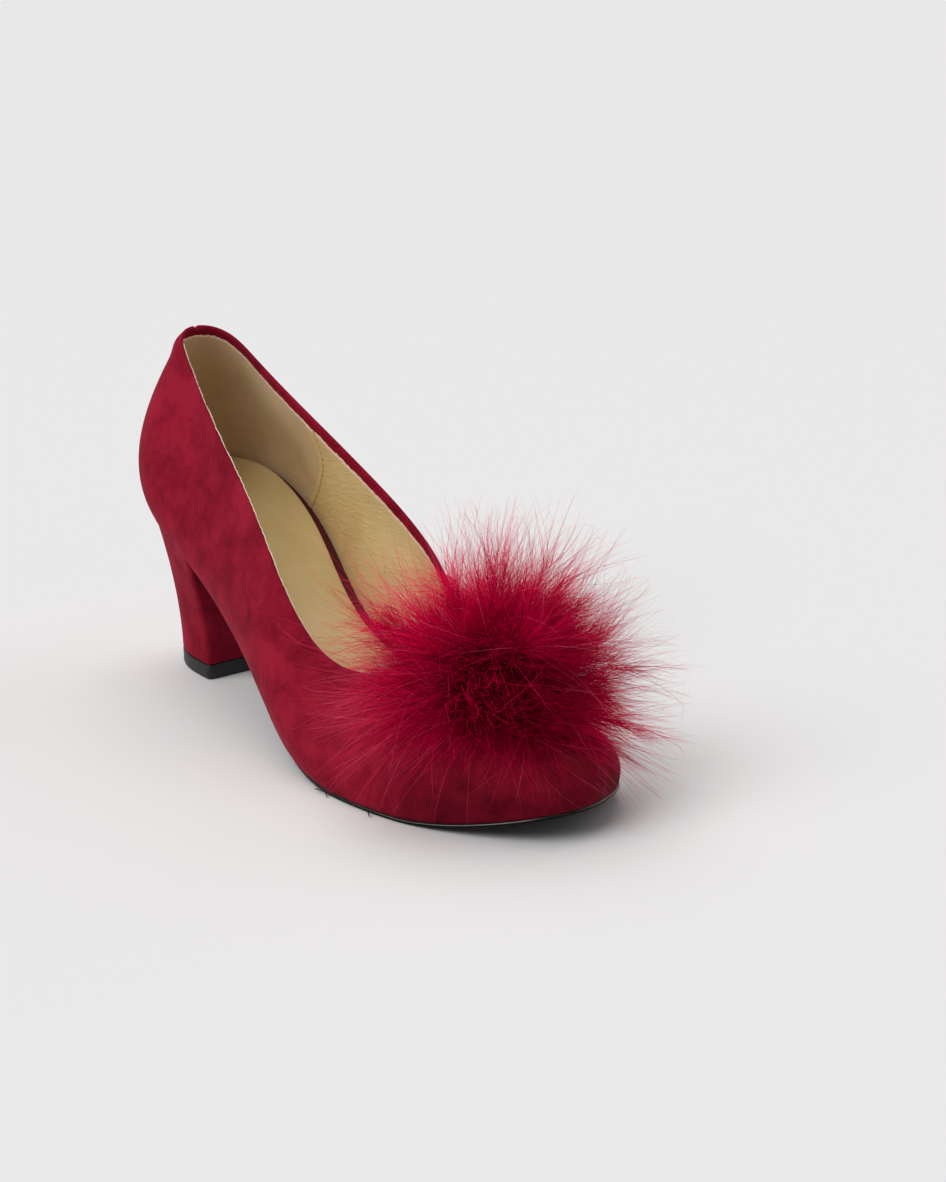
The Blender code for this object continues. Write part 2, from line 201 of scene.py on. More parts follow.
def bump(shader, height, strength, depth):
    """Fine relief in the finish; depth is in metres."""
    made = add_node(shader, "Bump", {"Height": height, "Strength": strength, "Distance": depth})
    shader.id_data.links.new(made.outputs["Normal"], shader.inputs["Normal"])


def grained(name, scale, detail, dark, light, **values):
    """A finish in two close colours, mixed by one noise."""
    material, shader = new_finish(name, **values)
    paint(shader, noise(shader, scale, detail), (0.35, dark), (0.65, light))
    return material, shader


TOE_SHADE_X, TOE_SHADE_Z = (160.0, 220.0), (30.0, 9.0)  # where the painted shade starts and where it is full


def painted_toe_shade(shader):
    """How far a point is in the painted shade low on the toe, from 0 to 1."""
    spot = add_node(shader, "TexCoord").outputs["Object"]
    place = add_node(shader, "SeparateXYZ", {"Vector": spot})
    share = 1.0
    for axis, shift, (unshaded, full_shade) in (("X", SHIFT[0], TOE_SHADE_X), ("Z", SHIFT[2], TOE_SHADE_Z)):
        span = add_node(shader, "MapRange", {
            "Value": place.outputs[axis], "From Min": (unshaded + shift) * 0.001,
            "From Max": (full_shade + shift) * 0.001}, interpolation_type="SMOOTHSTEP")
        share = add_node(shader, "Math", {0: span.outputs["Result"], 1: share},
                         operation="MULTIPLY").outputs[0]
    return share


SUEDE_STOPS = (0.20, 0.42, 0.50, 0.58)
DEEP_RED = (0.080, 0.0020, 0.0070)


def suede(name, *colours):
    """Brushed suede; its colours run from the deepest to the lightest."""
    material, shader = new_finish(
        name, Roughness=0.95, Specular_IOR_Level=0.04, Sheen_Weight=0.24,
        Sheen_Roughness=0.32, Sheen_Tint=(1.0, 0.26, 0.32, 1))
    wide = noise(shader, 24, 2.0, distortion=0.5)
    patches = noise(shader, 95, 3.0, distortion=0.35, rough=0.55)
    strokes = noise(shader, 420, 3.0, stretch=(1.0, 1.0, 0.8), distortion=0.3)
    nap = noise(shader, 1900, 3.0, rough=0.75)
    # The last term is painted shade low on the toe.
    mixed = blend_of(shader, (
        (0.24, wide), (0.40, patches), (0.14, strokes), (0.22, nap), (-0.25, painted_toe_shade(shader))))
    paint(shader, mixed, *zip(SUEDE_STOPS, colours))
    bump(shader, blend_of(shader, ((0.7, nap), (0.3, strokes))), 0.35, 0.0005)
    return material


upper_suede = suede("red_suede", DEEP_RED, (0.198, 0.0052, 0.0185),
                    (0.268, 0.0080, 0.0258), (0.345, 0.0122, 0.0348))
heel_suede = suede("heel_suede", DEEP_RED, (0.180, 0.0050, 0.0170),
                   (0.245, 0.0076, 0.0236), (0.315, 0.0114, 0.0318))
print("finishes:", upper_suede.name, heel_suede.name)

# %% [markdown]
# A shoe's form comes from its last. Short tables hold the sole's plan, the arch,
# the topline and the angle of the wall, and smooth curves run through them. They
# repeat the tables of the solids, so the dressed shoe keeps the same form.

# %% Tables of the last
LENGTH, BALL, SEAT = 232.0, 80.0, 57.5
COLLAR_BACK, THROAT, SPLIT, POLE = 12.0, 163.0, 174.0, 213.0
WALL, SOLE, GAP, LIFT, BREAST = 2.0, 2.7, 0.3, 5.5, 42.0
TREAD_BACK, TREAD_FRONT, SPRING, TOE_LEAN = 155.0, 186.0, 8.8, 1.2
SPRING_CURVE, LEAN_CURVE = 1.6, 6  # powers of the toe's lift and lean
LIFT_BACK = 8.0  # the top piece's back edge


def table(names, *rows):
    """A table with one named column for each word."""
    return dict(zip(names.split(), np.array(rows, float).T))


OUTLINE = table(
    "along outer inner",
    (0, 0, 0), (0.06, 0.522, 0.54), (0.14, 0.632, 0.65), (0.25, 0.672, 0.612),
    (0.4, 0.79, 0.47), (0.52, 0.968, 0.645), (0.64, 1.06, 0.905), (0.74, 1.02, 0.945),
    (0.84, 0.86, 0.91), (0.92, 0.615, 0.77), (0.97, 0.395, 0.425), (1, 0, 0))
ARCH = table(
    "along rise",
    (0, 1), (0.13, 0.95), (0.26, 0.845), (0.39, 0.68), (0.52, 0.482),
    (0.65, 0.288), (0.78, 0.132), (0.9, 0.034), (1, 0))
TOPLINE = table(
    "along outer inner height edge",
    (0, 0, 0, 123.3, 57), (0.04, 9.7, 10.8, 120, 60), (0.12, 13.7, 14.1, 112.7, 70),
    (0.3, 20.9, 18.3, 97.4, 80), (0.5, 27, 24.3, 79.6, 79), (0.7, 32.9, 29.8, 57, 70),
    (0.82, 31.3, 27, 41.8, 58), (0.9, 25, 21.5, 36.6, 44), (0.96, 16.5, 14, 37.4, 26),
    (1, 0, 0, 39, 0))
RIDGE = table("at height", (163, 39), (175, 36.4), (188, 33.3), (201, 30), (213, 26.6))
SECTION = table(
    "along outer inner low high",
    (0, 55, 55, 0.38, 0.38), (0.06, 59, 60, 0.37, 0.37), (0.14, 68, 68, 0.36, 0.36),
    (0.25, 71, 69, 0.34, 0.34), (0.4, 66, 66, 0.33, 0.33), (0.52, 68, 70, 0.32, 0.32),
    (0.64, 76, 76, 0.31, 0.33), (0.74, 80, 80, 0.31, 0.36), (0.84, 80, 80, 0.33, 0.38),
    (0.92, 79, 79, 0.37, 0.42), (1, 77, 77, 0.41, 0.46))
CUSHION = table(
    "along thick rim",
    (0, 12.6, 0.8), (0.12, 12.4, 1.2), (0.25, 10.8, 2.3), (0.42, 6.8, 3.4),
    (0.55, 4.6, 3.4), (0.68, 3.2, 3), (1, 2.8, 3))
SOLE_EDGE = table(
    "along out",
    (0.17, -1.6), (0.35, -2.4), (0.5, -1.4), (0.6, 0), (0.7, 0.5), (0.9, 0.5), (1, 0.2))
HEEL_FOOT = table(
    "at half",
    (LIFT_BACK, 0), (9.4, 5), (13, 9.8), (19, 13.9), (28, 16.6), (LIFT_FRONT, 17.1))
print("tables:", len(OUTLINE["along"]), "plan rows,", len(TOPLINE["along"]), "topline rows")

# %% Curves through the tables
def spline(xs, ys):
    """The natural cubic curve through a table, for whole arrays at once."""
    xs, ys = np.asarray(xs, float), np.asarray(ys, float)
    count, step = len(xs), np.diff(xs)
    rise = np.diff(ys) / step
    matrix, right = np.eye(count), np.zeros(count)
    for i in range(1, count - 1):
        matrix[i, i - 1:i + 2] = (step[i - 1], 2 * (step[i - 1] + step[i]), step[i])
        right[i] = 6 * (rise[i] - rise[i - 1])
    bend = np.linalg.solve(matrix, right)

    def at(x):
        x = np.clip(x, xs[0], xs[-1])
        i = np.clip(np.searchsorted(xs, x, "right") - 1, 0, count - 2)
        h, a, b = step[i], xs[i + 1] - x, x - xs[i]
        curve = (bend[i] * a ** 3 + bend[i + 1] * b ** 3) / (6 * h)
        return (curve + (ys[i] / h - bend[i] * h / 6) * a
                + (ys[i + 1] / h - bend[i + 1] * h / 6) * b)

    return at


def turn(share):
    """The angle, as a share of half a turn, that gives round ends to a plan."""
    return np.arccos(1 - 2 * np.clip(share, 0, 1)) / pi


def grown(x, start, run):
    """How far x has come on a run from its start, from 0 to 1."""
    return np.clip((x - start) / run, 0, 1)


def hump(x, width):
    """One smooth hump about zero."""
    return np.exp(-(x / width) ** 2)


def half_wave(share):
    """A share from 0 to 1 that starts and ends slowly."""
    return (1 - np.cos(pi * share)) / 2


SIDES = {-1: "outer", 1: "inner"}


def on_both_sides(rows, ends=np.asarray):
    """One curve for each side, through the columns called outer and inner."""
    return {side: spline(ends(rows["along"]), rows[name]) for side, name in SIDES.items()}


OUTLINE_SIDE = on_both_sides(OUTLINE, turn)
TOPLINE_SIDE = on_both_sides(TOPLINE, turn)
FOOT_ANGLE = on_both_sides(SECTION)
TOPLINE_HEIGHT = spline(TOPLINE["along"], TOPLINE["height"])
EDGE_ANGLE = spline(turn(TOPLINE["along"]), TOPLINE["edge"])
RIDGE_HEIGHT = spline(RIDGE["at"], RIDGE["height"])
ARCH_RISE = spline(ARCH["along"], ARCH["rise"])
LOW_SHARE = spline(SECTION["along"], SECTION["low"])
HIGH_SHARE = spline(SECTION["along"], SECTION["high"])
CUSHION_THICK = spline(CUSHION["along"], CUSHION["thick"])
EDGE_OUT = spline(SOLE_EDGE["along"], SOLE_EDGE["out"])
HEEL_HALF = spline(np.sqrt(HEEL_FOOT["at"] - LIFT_BACK), HEEL_FOOT["half"])
RIDGE_SLOPE = RIDGE_HEIGHT(THROAT + 1.0) - RIDGE_HEIGHT(THROAT)
print("throat height", round(float(RIDGE_HEIGHT(THROAT)), 1), "mm")

# %% [markdown]
# The wall of the upper is one function of two shares: how far along the shoe,
# from 0 at the back seam over 1 at the throat to 2 at the toe tip, and how far
# up. Suede, linings and insole all ask it for points, each set in by its own
# depth, so they fit inside each other like the real layers.

# %% The wall of the upper
ROLL = 0.5  # radius of the folded topline edge on the outer side
NEAR = 0.004  # a small share, for directions along the plan


def unit(v):
    """Directions of length one."""
    return v / np.maximum(np.linalg.norm(v, axis=-1, keepdims=True), 1e-9)


def lying(flat, height=0.0):
    """Plan points or directions, given a height."""
    level = np.concatenate((flat, np.zeros(flat.shape[:-1] + (1,))), -1)
    return level + np.asarray(height)[..., None] * UP


def floor_line(x):
    """Height of the upper's lower edge over the floor."""
    x = np.asarray(x, float)
    ground = SOLE + GAP
    arch = (SEAT - ground) * np.maximum(ARCH_RISE(x / TREAD_BACK), 0.0)
    toe = SPRING * np.clip((x - TREAD_FRONT) / (LENGTH - TREAD_FRONT), 0, None) ** SPRING_CURVE
    return ground + np.where(x < TREAD_BACK, arch, 0.0) + toe


def outline(side, x, inset=0.0):
    """Points of the sole's plan and their outward directions."""
    share = turn(np.asarray(x, float) / LENGTH)

    def point(t):
        t = np.clip(t, 0.0, 1.0)
        return np.stack((LENGTH * half_wave(t),
                         side * OUTLINE_SIDE[side](t) * BALL / 2 + TOE_LEAN * t ** LEAN_CURVE), -1)

    along = point(share + NEAR) - point(share - NEAR)
    out = np.stack((along[..., 1], -along[..., 0]), -1) * -side
    out = np.where((share < NEAR)[..., None], (-1.0, 0.0), out)
    out = unit(np.where((share > 1 - NEAR)[..., None], (1.0, 0.0), out))
    return point(share) - np.asarray(inset)[..., None] * out, out


def topline(side, s):
    """The upper edge: its place, the skin's direction, its fall and its slope."""
    share = half_wave(s)
    place = np.stack((COLLAR_BACK + (THROAT - COLLAR_BACK) * share,
                      side * TOPLINE_SIDE[side](s), TOPLINE_HEIGHT(share)), -1)
    out = lying(outline(side, SPLIT * share)[1])
    fall = np.radians(EDGE_ANGLE(s))[..., None]
    slope = (RIDGE_SLOPE * np.maximum(s - 0.7, 0.0) / 0.3)[..., None]
    return place, np.sin(fall) * out + np.cos(fall) * (UP - slope * AHEAD), fall, slope


def edge_frame(side, s):
    """Along the edge, out of the skin, and out over the rim."""
    place, skin, _, _ = topline(side, s)
    ahead = unit(topline(side, np.minimum(s + 0.002, 1.0))[0]
                 - topline(side, np.maximum(s - 0.002, 0.0))[0])
    skin = unit(skin - (skin * ahead).sum(-1, keepdims=True) * ahead)
    return place, ahead, skin, -side * np.cross(skin, ahead)


def roll_radius(side, s):
    """The folded edge is fuller round the back and along the inner side."""
    back = 0.65 * hump(s, 0.075)
    if side < 0:
        return ROLL + back
    return ROLL + np.maximum(back, 0.38 * (1 - grown(s, 0.70, 0.25)))


def along_sole(s):
    """Millimetres from the heel seat at shares s along the shoe."""
    return np.where(s <= 1, SPLIT * half_wave(np.minimum(s, 1.0)),
                    SPLIT + (LENGTH - SPLIT) * half_wave(np.clip(s - 1, 0, 1)))


def wall(side, s, t, inset=0.0):
    """Points of the wall at shares s along and t up, set in by inset."""
    s, t = np.broadcast_arrays(np.asarray(s, float), np.asarray(t, float))
    inset = np.broadcast_to(inset, s.shape)
    rear = np.minimum(s, 1.0)
    q = half_wave(np.clip(s - 1, 0, 1))
    x = along_sole(s)
    foot, out = (lying(flat) for flat in outline(side, x, inset))
    foot[..., 2] = floor_line(x)
    place, _, fall, slope = topline(side, rear)
    throat = THROAT + ROLL
    ridge_x = throat + (POLE - throat) * q
    ridge = np.stack((ridge_x, TOE_LEAN * (ridge_x / LENGTH) ** LEAN_CURVE * q,
                      RIDGE_HEIGHT(ridge_x)), -1)
    front = (s > 1)[..., None]
    ridge_slope = RIDGE_HEIGHT(ridge_x + 0.5) - RIDGE_HEIGHT(ridge_x - 0.5)
    slope = np.where(front, ridge_slope[..., None], slope)
    skin = np.where(front, UP, np.sin(fall) * out + np.cos(fall) * UP)
    fall = np.where(front, 0.0, fall)
    rim = roll_radius(side, rear)[..., None] * edge_frame(side, rear)[3]
    top = np.where(front, ridge, place - rim) - inset[..., None] * skin
    chord = np.linalg.norm(top - foot, axis=-1, keepdims=True)
    lean = np.radians(FOOT_ANGLE[side](x / LENGTH))[..., None]
    low = foot + LOW_SHARE(x / LENGTH)[..., None] * chord * (np.cos(lean) * out + np.sin(lean) * UP)
    down = np.cos(fall) * (out + UP * slope * out[..., :1]) - np.sin(fall) * UP
    high = top + HIGH_SHARE(x / LENGTH)[..., None] * chord * down
    t = t[..., None]
    return ((1 - t) ** 3 * foot + 3 * (1 - t) ** 2 * t * low
            + 3 * (1 - t) * t ** 2 * high + t ** 3 * top)


print("wall height at the back seam", (wall(-1, 0.0, 1.0) - wall(-1, 0.0, 0.0)).round(1))

# %% [markdown]
# Most pieces are grids of points joined by quads. A piece takes its grids one by
# one into two lists. Then it becomes a mesh that rides on the shoe and stands for
# one of its solids, and the lists are empty again.

# %% Mesh helpers
points, faces = [], []


def take(grid, closed=False):
    """Adds a grid of points and its quads, row by row, to the piece in hand."""
    wide, tall = grid.shape[:2]
    start = len(points)
    for c in range(wide if closed else wide - 1):
        a, b = start + c * tall, start + (c + 1) % wide * tall
        faces.extend((a + r, b + r, b + r + 1, a + r + 1) for r in range(tall - 1))
    points.extend(grid.reshape(-1, 3))


def take_stack(stack):
    """Adds rings joined into a wall, with a face over each end."""
    take(stack, closed=True)
    for end in (0, -1):
        faces.append(list(range(len(points), len(points) + len(stack)))[::1 if end else -1])
        points.extend(stack[:, end])


def add_piece(name, finish, node, sharp=None, weld=None):
    """The piece in hand as one mesh of the shoe."""
    mesh = bpy.data.meshes.new(name)
    mesh.from_pydata(to_world(points).tolist(), [], faces)
    points.clear()
    faces.clear()
    if weld:
        work = bmesh.new()
        work.from_mesh(mesh)
        bmesh.ops.remove_doubles(work, verts=work.verts, dist=weld * 0.001)
        bmesh.ops.dissolve_degenerate(work, edges=work.edges, dist=1e-7)
        bmesh.ops.recalc_face_normals(work, faces=work.faces)
        work.to_mesh(mesh)
        work.free()
    mesh.shade_smooth()
    if sharp:
        mesh.set_sharp_from_angle(angle=radians(sharp))
    mesh.materials.append(finish)
    item = add_object(name, mesh)
    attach(item, "root")
    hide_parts(node)
    print(name, len(mesh.polygons), "faces")
    return item


# %% [markdown]
# The suede skin follows the wall, then folds over a cord-like roll at the
# topline and down inside, as a shoemaker turns the edge before the lining goes
# in. The back seam is a fine groove with a nick at the collar. A few creases are
# listed as soft troughs and ridges, each a place, a direction, a run, a
# width and a depth.

# %% Creases
CREASES = table(
    "x y z dx dy dz run width depth",
    (152, -39, 17, 0.45, -0.15, 0.85, 13, 2.6, -0.4),
    (158, -39, 18, 0.5, -0.1, 0.8, 12, 2.4, 0.3),
    (165, -38, 19, 0.55, 0.05, 0.75, 12, 2.8, -0.35),
    (150, 33, 16, 0.45, 0.15, 0.85, 12, 2.8, -0.4),
    (158, 35, 17, 0.5, 0.1, 0.8, 11, 2.6, 0.3),
    (24, -21, 84, 0.2, 0, 0.95, 16, 4, -0.3),
    (40, -24, 76, 0.55, 0, 0.75, 15, 4.5, 0.28),
    (62, -26, 66, 0.6, 0, 0.7, 15, 4.5, -0.32),
    (96, -30, 50, 0.7, 0, 0.6, 18, 5, 0.3),
    (112, -33, 40, 0.75, 0, 0.55, 16, 4.5, -0.3),
    (60, 20, 66, 0.6, 0, 0.7, 15, 4.5, -0.32),
    (100, 24, 46, 0.7, 0, 0.6, 16, 5, 0.3),
)


def creased(points, skin):
    """Moves points out or in along the skin, by the crease table."""
    lift = np.zeros(points.shape[:-1])
    for x, y, z, dx, dy, dz, run, width, depth in zip(*CREASES.values()):
        away = points - (x, y, z)
        along = unit(np.array((dx, dy, dz)))
        way = away @ along
        across = np.linalg.norm(away - way[..., None] * along, axis=-1)
        lift += depth * hump(way, run) * hump(across, width)
    return points + lift[..., None] * skin


print("creases:", len(CREASES["x"]))

# %% Suede upper
rear_shares = np.hstack(((0.0, 0.0012, 0.0025, 0.004), np.linspace(0.006, 1.0, 168)))
toe_shares = np.linspace(1.0, 2.0, 67)[1:]
shares = np.hstack((rear_shares, toe_shares))
rises = np.linspace(0.0, 1.0, 62)
SEAM_DEPTH, SEAM_WIDTH = 0.45, 0.55
SEAM_END = 30.0  # the back seam lies behind this place
NICK, NICK_WIDTH = 0.75, 0.5
COLLAR_SWELL = 1.6  # the padded collar rounds out just below its edge
TUCK = 1.50  # how far the suede is drawn down over the sole's edge
TUCK_GROWS = 0.40, 0.16  # where the draw begins, and its run, in lengths
TOE_TIP = 205.0, 25.0  # where the toe tip begins, and its run
TIP_SHOWS = 0.2  # share by which more of the sole's edge shows at the tip


def skin_of(grid, side):
    """Outward directions of a grid of wall points."""
    along = np.gradient(grid, axis=0)
    climb = np.gradient(grid, axis=1)
    return unit(np.cross(along, climb) * -side)


def edge_reach(side, s, inset):
    """Millimetres along the wall for each unit of its share, at its upper edge."""
    last_bit = wall(side, s, 1.0, inset) - wall(side, s, 0.98, inset)
    return np.linalg.norm(last_bit, axis=-1) / 0.02


def tucked(edge):
    """The draw at points of the lower edge: none at the heel, all at the forepart."""
    x = edge[..., :1]
    share = grown(x / LENGTH, *TUCK_GROWS)
    return TUCK * share * share * (3 - 2 * share) * (1 - TIP_SHOWS * grown(x, *TOE_TIP))


def skin_sheet(side):
    """One side's skin with its creases, collar and back seam, and its directions."""
    grid = wall(side, shares[:, None], rises[None, :])
    out = skin_of(grid, side)
    grid = creased(grid, out)
    swell = hump(rises - 0.945, 0.045)[None, :] * hump(shares, 0.12)[:, None]
    grid = grid + COLLAR_SWELL * swell[..., None] * out
    groove = SEAM_DEPTH * hump(grid[..., 1], SEAM_WIDTH) * (grid[..., 0] < SEAM_END)
    return grid - groove[..., None] * out, out


def folded_edge(side, start):
    """The roll at the topline and the strip turned down inside it."""
    place, _, skin, rim = edge_frame(side, rear_shares)
    nick = 1.0 - NICK * hump(place[:, 1], NICK_WIDTH) * (place[:, 0] < SEAM_END)
    angle = np.linspace(0.0, pi, 10)[None, :, None]
    radius = roll_radius(side, rear_shares)
    roll = start[:, None] + radius[:, None, None] * (
        (np.cos(angle) - 1) * skin[:, None] + np.sin(angle) * nick[:, None, None] * rim[:, None])
    inside = np.linspace(0.7, 5.6, 7)
    reach = edge_reach(side, rear_shares, 2 * radius)
    along_wall = wall(side, rear_shares[:, None], 1 - inside / reach[:, None], 2 * radius[:, None])
    straight = roll[:, -1:] - inside[None, :, None] * rim[:, None]
    throat = grown(rear_shares, 0.72, 0.12)[:, None, None]
    return np.hstack((roll, along_wall * (1 - throat) + straight * throat))


for side in SIDES:
    skin_grid, out = skin_sheet(side)
    hem = skin_grid[:, :1]
    skirt = tucked(hem) * UP
    lip = wall(side, shares, 0.0, WALL)[:, None]
    take(np.hstack((lip - skirt, hem - skirt - 0.15 * out[:, :1], skin_grid)))
    take(folded_edge(side, skin_grid[:len(rear_shares), -1]))
add_piece("suede_upper", upper_suede, "upper", weld=0.01)

# %% [markdown]
# Inside there are two linings. Around the heel it is a napped one that grips,
# brown in the shade; in front of a curved seam it is smooth leather. Each is a
# sheet at its own depth in the wall with a raw, slightly ragged upper edge: on
# the outer side it comes up flush with the fold, elsewhere it stops below it.

# %% Lining finishes
def leather(name, dark, light, rough, grain, wrinkle, gloss, relief=0.30):
    """Leather with soft clouds of colour, a grain and fine wrinkles."""
    material, shader = new_finish(name, Roughness=rough, Specular_IOR_Level=gloss)
    cloud = noise(shader, 38, 3.0, distortion=0.4)
    fine = noise(shader, grain, 3.0, rough=0.6)
    clouded = blend_of(shader, ((0.75, cloud), (0.25, fine)))
    paint(shader, clouded, (0.36, dark), (0.62, light))
    lines = noise(shader, wrinkle, 3.0, stretch=(0.22, 0.6, 1.0), distortion=0.9, rough=0.55)
    bump(shader, blend_of(shader, ((0.2, fine), (0.8, lines))), relief, 0.0008)
    return material


counter_nap = leather("counter_lining_nap", (0.64, 0.485, 0.285), (0.75, 0.590, 0.380),
                      0.95, 1500, 300, 0.1)
vamp_leather = leather("vamp_lining_leather", (0.72, 0.545, 0.255), (0.84, 0.670, 0.350),
                       0.44, 1100, 640, 0.50, relief=0.60)
raw_edge, _ = grained("lining_raw_edge", 900, 3.0, (0.90, 0.70, 0.49), (0.98, 0.84, 0.66),
                      Roughness=0.9, Specular_IOR_Level=0.1)
print("finishes:", counter_nap.name, vamp_leather.name, raw_edge.name)

# %% Linings
LINING = 2.15  # depth of the lining's face in the wall
LINING_THICK = 0.45
EDGE_THINS = 1.0  # the layers are pared down by this much at the edge
LINING_SEAM = table(
    "t s", (0, 0.318), (0.19, 0.332), (0.4, 0.355), (0.6, 0.377), (0.75, 0.39),
    (0.86, 0.389), (1.05, 0.366))
SEAM_AT = spline(LINING_SEAM["t"], LINING_SEAM["s"])
SEAM_LAP = 0.006  # the vamp lining starts this share behind the seam
FOLD_SHOWS = 2.8  # how far below the roll's start the lining stops
RAW_EDGE = 0.95  # height of the pale raw edge
TOPLINE_RUN = 180.0  # about the length of the topline, for the teeth along it


def lining_depth(side, s, t):
    """Depth of a lining's face in the wall, pared down towards the edge."""
    below = np.maximum(1 - t, 0) * edge_reach(side, np.minimum(s, 1.0), LINING)
    thinned = EDGE_THINS - 2 * (roll_radius(side, np.minimum(s, 1.0)) - ROLL)
    return LINING - np.where(s < 1, thinned * np.exp(-below / 9.0), 0.0)


def ragged(run, side):
    """Small teeth of a cut edge, by the run along it in millimetres."""
    teeth = np.abs((run / 0.95 + 0.35 * np.sin(run * 0.9 + side)) % 1.0 - 0.5) * 2
    return 0.40 * teeth + 0.12 * np.sin(run * 0.55 + 2 * side) + 0.10 * np.sin(run * 1.9)


def lining_top(side, s, lower):
    """The share of the wall's height where the lining's raw edge is."""
    drop = FOLD_SHOWS * np.clip(0.55 + 3 * s, 0, 1)
    if side < 0:
        flush = grown(s, 0.06, 0.08)
        drop = drop * (1 - flush) - (ROLL + 0.25) * flush
        drop = drop - 0.55 * np.exp(-((s - 0.345) / 0.022) ** 4)
    run = TOPLINE_RUN * half_wave(np.clip(s, 0, 1))
    drop = (drop + ragged(run, side) + lower) * (1 - grown(s, 0.85, 0.15))
    return np.where(s < 1, 1 - drop / edge_reach(side, s, LINING), 1.0)


def lining_sheet(side, near, far, wide, deeper):
    """A sheet between two shares along the shoe, with its cut edge last."""
    u = np.linspace(0, 1, wide)[:, None]
    s = near + (far - near) * u
    rim_s = s[:, -1:]
    lower, top = (lining_top(side, rim_s, cut) for cut in (RAW_EDGE, 0.0))
    t = 0.015 + (lower - 0.015) * climb
    face = wall(side, s, t, lining_depth(side, s, t) + deeper)
    rim_depth = lining_depth(side, rim_s, top) + deeper
    edge = wall(side, rim_s, np.hstack((top, top)), rim_depth - (0.04, LINING_THICK))
    return np.hstack((face, edge))


def add_lining(name, near, far, wide, deeper, finish):
    """Both sides of a lining; its last two rows of faces are the raw edge."""
    raw = []
    for side in SIDES:
        sheet = lining_sheet(side, near, far, wide, deeper)
        take(sheet)
        rows = np.arange(sheet.shape[1] - 1)
        raw += [k >= sheet.shape[1] - 3 for k in np.tile(rows, wide - 1)]
    item = add_piece(name, finish, "upper", sharp=40)
    item.data.materials.append(raw_edge)
    item.data.polygons.foreach_set("material_index", np.array(raw, np.int32))


climb = np.linspace(0, 1, 34)[None, :]
add_lining("counter_lining", 0.0, SEAM_AT(climb), 320, 0.0, counter_nap)
add_lining("vamp_lining", SEAM_AT(climb) - SEAM_LAP, 2.0, 560, 0.12, vamp_leather)

# %% [markdown]
# A row of stitches holds the two linings together along the curved seam. Each
# stitch is a small bent rod, and all of them are one mesh made from arrays.

# %% Lining stitches
def take_rods(paths, radius, sides=6):
    """Adds round rods along paths of points, tapered at both ends."""
    turnings = np.linspace(0, 2 * pi, sides, endpoint=False)[:, None, None]
    for path in paths:
        path = np.asarray(path, float)
        along = unit(np.gradient(path, axis=0))
        across = unit(np.cross(along, UP + 0.01))
        ring = np.cos(turnings) * across + np.sin(turnings) * np.cross(along, across)
        arch = np.sin(np.linspace(0.06, pi - 0.06, len(path)))
        taper = np.clip(arch * 2.2, 0.25, 1.0) * radius
        take(path + ring * taper[:, None], closed=True)


def run_along(path):
    """Distances along a path, up to each of its points."""
    return np.hstack((0, np.cumsum(np.linalg.norm(np.diff(path, axis=0), axis=1))))


def path_at(path, marks):
    """Points of a path at distances along it."""
    run = run_along(path)
    return np.stack([np.interp(marks, run, path[:, k]) for k in range(path.shape[1])], -1)


STITCH_PITCH, STITCH_LONG, STITCH_RADIUS = 2.6, 1.9, 0.22
thread, _ = grained("beige_thread", 5200, 2.0, (0.56, 0.42, 0.21), (0.76, 0.59, 0.33),
                    Roughness=0.7)
stitches = []
for side in SIDES:
    v = np.linspace(0.2, 0.97, 400)
    line = wall(side, SEAM_AT(v) + 0.0065, v, lining_depth(side, SEAM_AT(v), v) + 0.22)
    for start in np.arange(0.5, run_along(line)[-1] - 2.2, STITCH_PITCH):
        stitches.append(path_at(line, np.linspace(start, start + STITCH_LONG, 6)))
take_rods(stitches, STITCH_RADIUS)
add_piece("lining_stitches", thread, "upper")

# %% [markdown]
# The insole is a padded board wrapped in wine leather. Only its rim shows, a dark
# line that widens towards the front, because the sock covers the rest. Rings
# inside the wall give its sides, and strips across give a top that dips a little
# where the foot stands.

# %% Insole
def inner_ring(rise_share, inset):
    """A ring inside the wall at a share of the insole's thickness."""
    ring_shares = np.hstack((np.linspace(0, 1, 91), np.linspace(1, 2, 46)[1:]))
    want = CUSHION_THICK(along_sole(ring_shares) / LENGTH) * rise_share
    ring_sides = {}
    for side in SIDES:
        columns = wall(side, ring_shares[:, None], np.linspace(0, 1, 80)[None, :], inset)
        ring_sides[side] = np.array([
            [np.interp(w, column[:, 2] - column[0, 2], column[:, k]) for k in range(3)]
            for w, column in zip(want, columns)])
    return ring_sides


def take_rings(rings):
    """Adds both sides of a stack of rings to the piece in hand."""
    for side in SIDES:
        take(np.stack([ring[side] for ring in rings], axis=1))


def across(ring_sides, dish, strips=15):
    """A grid from one side of a ring to the other, dipping in the middle."""
    v = np.linspace(0, 1, strips)[None, :, None]
    grid = ring_sides[-1][:, None] * (1 - v) + ring_sides[1][:, None] * v
    width = np.linalg.norm(ring_sides[1] - ring_sides[-1], axis=1)[:, None]
    grid[..., 2] -= dish * np.minimum(width / 50.0, 1.0) * (4 * v[..., 0] * (1 - v[..., 0])) ** 1.5
    return grid


DISH = 0.5  # how far the middle of the insole and the sock dips
INSOLE_RINGS = ((0.0, 2.4), (0.5, 2.4), (0.88, 2.45), (0.96, 2.6), (1.0, 2.95))
wine, wine_shader = grained("wine_leather", 900, 3.0, (0.085, 0.006, 0.012), (0.135, 0.010, 0.022),
                            Roughness=0.62, Specular_IOR_Level=0.3)
bump(wine_shader, noise(wine_shader, 1800, 3.0), 0.25, 0.0004)
insole_rings = [inner_ring(share, inset) for share, inset in INSOLE_RINGS]
take_rings(insole_rings)
take(across(insole_rings[-1], DISH))
take(across(insole_rings[0], 0.0, 5))
insole_piece = add_piece("insole_board", wine, "insole", sharp=60, weld=0.01)

